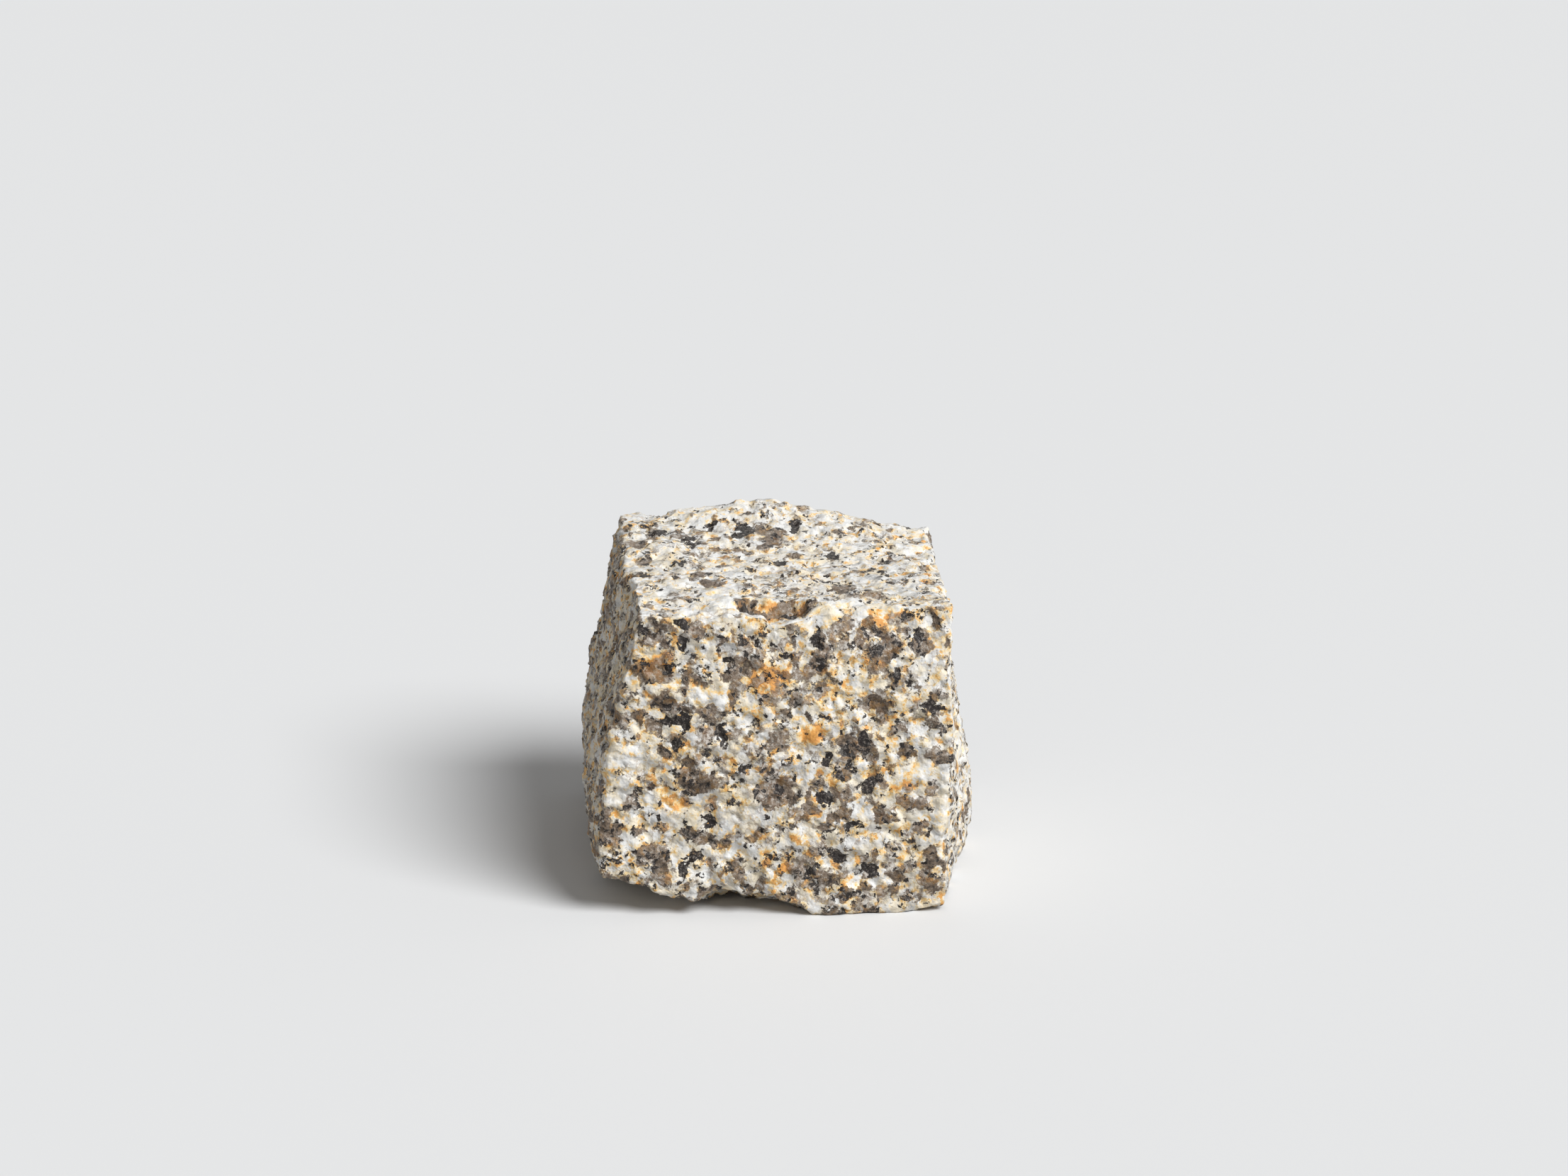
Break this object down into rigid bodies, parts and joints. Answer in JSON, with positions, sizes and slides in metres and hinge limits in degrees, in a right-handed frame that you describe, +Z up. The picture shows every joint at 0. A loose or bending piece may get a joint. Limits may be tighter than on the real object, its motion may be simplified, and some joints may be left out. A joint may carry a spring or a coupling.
{
  "type": "granite sett",
  "caption": "Roughly cubic paving sett of hand-split granite, with uneven fracture faces, chipped arrises and a bed that it stands on.",
  "frame": {"origin": "middle of the bounding box, on the level that the sett stands on", "axes": "+Z up from the bed, +X to the right of the front face, +Y from the front face to the back"},
  "size_m": [0.0734, 0.067, 0.0591],
  "materials": {
    "granite": "rough split fracture, coarse grained, iron stained"
  },
  "bodies": {
    "root": {"granite_sett": "granite"}
  },
  "joints": []
}
